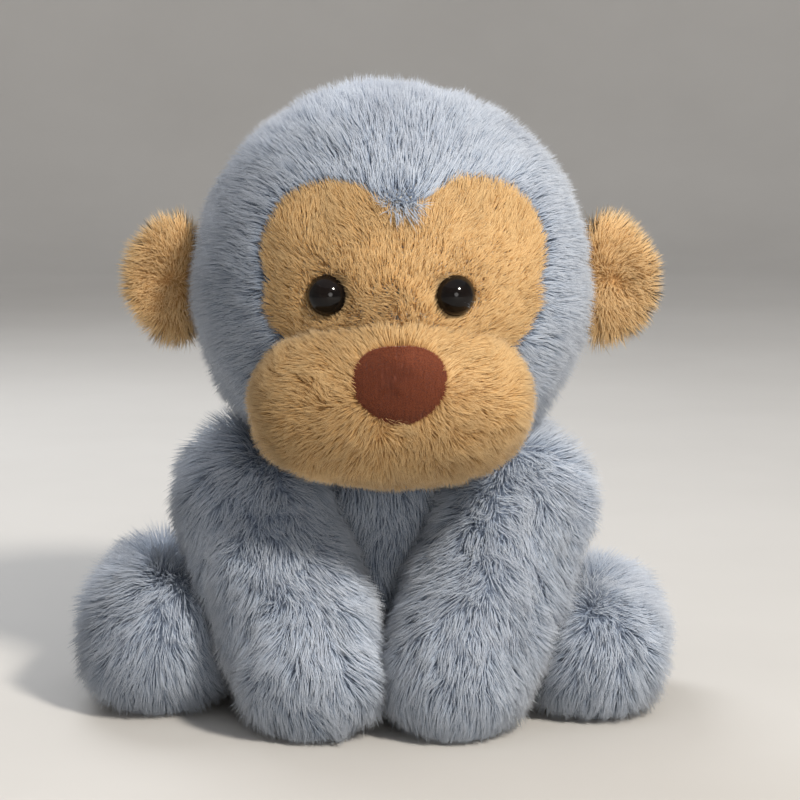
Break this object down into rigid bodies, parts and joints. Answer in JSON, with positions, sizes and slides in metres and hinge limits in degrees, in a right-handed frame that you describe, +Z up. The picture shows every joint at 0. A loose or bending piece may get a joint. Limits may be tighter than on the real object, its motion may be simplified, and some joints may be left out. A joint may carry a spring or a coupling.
{
  "type": "stuffed monkey",
  "caption": "Seated long-pile stuffed monkey with a broad muzzle, cupped ears and domed eyes; its head, ears, arms, legs and tail move on sewn joints.",
  "frame": {"origin": "on the ground, in the flat seat of the torso, below the middle of the neck", "axes": "+Z up from the ground, -Y the way the face looks, +X the right side as seen from the front"},
  "size_m": [0.229, 0.2338, 0.2425],
  "materials": {
    "blue_plush": "long dense pile with paler tips",
    "tan_plush": "shorter dense pile with paler tips",
    "nose_velour": "very short velour",
    "eye_plastic": "polished black",
    "washer_plastic": "moulded white",
    "fibre_filling": "loose polyester fibre",
    "pouch_cotton": "plain weave",
    "pellet_plastic": "small beads",
    "thread": "sewing thread"
  },
  "bodies": {
    "torso": {"torso_cover": "blue_plush", "torso_stuffing": "fibre_filling", "pellet_pouch": "pouch_cotton", "pellets": "pellet_plastic", "closing_stitches": "thread"},
    "neck": {"neck_stuffing": "fibre_filling"},
    "head": {"head_cover": "blue_plush", "face_patch": "tan_plush", "head_stuffing": "fibre_filling", "muzzle_cover": "tan_plush", "muzzle_stuffing": "fibre_filling", "nose_patch": "nose_velour", "eye_left": "eye_plastic", "eye_right": "eye_plastic", "eye_washer_left": "washer_plastic", "eye_washer_right": "washer_plastic"},
    "tail": {"tail_cover": "blue_plush", "tail_stuffing": "fibre_filling"},
    "ear_left": {"ear_left_front": "tan_plush", "ear_left_back": "tan_plush"},
    "arm_left": {"arm_left_cover": "blue_plush", "arm_left_stuffing": "fibre_filling"},
    "leg_left": {"leg_left_cover": "blue_plush", "leg_left_stuffing": "fibre_filling"},
    "ear_right": {"ear_right_front": "tan_plush", "ear_right_back": "tan_plush"},
    "arm_right": {"arm_right_cover": "blue_plush", "arm_right_stuffing": "fibre_filling"},
    "leg_right": {"leg_right_cover": "blue_plush", "leg_right_stuffing": "fibre_filling"}
  },
  "joints": [
    {"name": "head_turn", "type": "hinge", "parent": "torso", "child": "neck", "pos_m": [0, -0.008, 0.085], "axis": [0, 0, 1], "range_deg": [-12, 12]},
    {"name": "head_nod", "type": "hinge", "parent": "neck", "child": "head", "pos_m": [0, -0.008, 0.1695], "axis": [1, 0, 0], "range_deg": [-12, 5]},
    {"name": "ear_left_fold", "type": "hinge", "parent": "head", "child": "ear_left", "pos_m": [-0.0795, -0.002, 0.17], "axis": [0, 0, 1], "range_deg": [-25, 35], "stiffness_Nm_per_rad": 0.002},
    {"name": "arm_left_lift", "type": "hinge", "parent": "torso", "child": "arm_left", "pos_m": [-0.054, -0.014, 0.0825], "axis": [-1, 0, 0], "range_deg": [0, 35]},
    {"name": "leg_left_splay", "type": "hinge", "parent": "torso", "child": "leg_left", "pos_m": [-0.093, 0.026, 0.027], "axis": [0, 0, -1], "range_deg": [0, 25]},
    {"name": "ear_right_fold", "type": "hinge", "parent": "head", "child": "ear_right", "pos_m": [0.0795, -0.002, 0.17], "axis": [0, 0, -1], "range_deg": [-25, 35], "stiffness_Nm_per_rad": 0.002},
    {"name": "arm_right_lift", "type": "hinge", "parent": "torso", "child": "arm_right", "pos_m": [0.0495, -0.014, 0.0805], "axis": [-1, 0, 0], "range_deg": [0, 35]},
    {"name": "leg_right_splay", "type": "hinge", "parent": "torso", "child": "leg_right", "pos_m": [0.084, 0.02, 0.024], "axis": [0, 0, 1], "range_deg": [0, 25]},
    {"name": "tail_swing", "type": "hinge", "parent": "torso", "child": "tail", "pos_m": [0, 0.085, 0.014], "axis": [0, 0, 1], "range_deg": [-25, 25]}
  ]
}
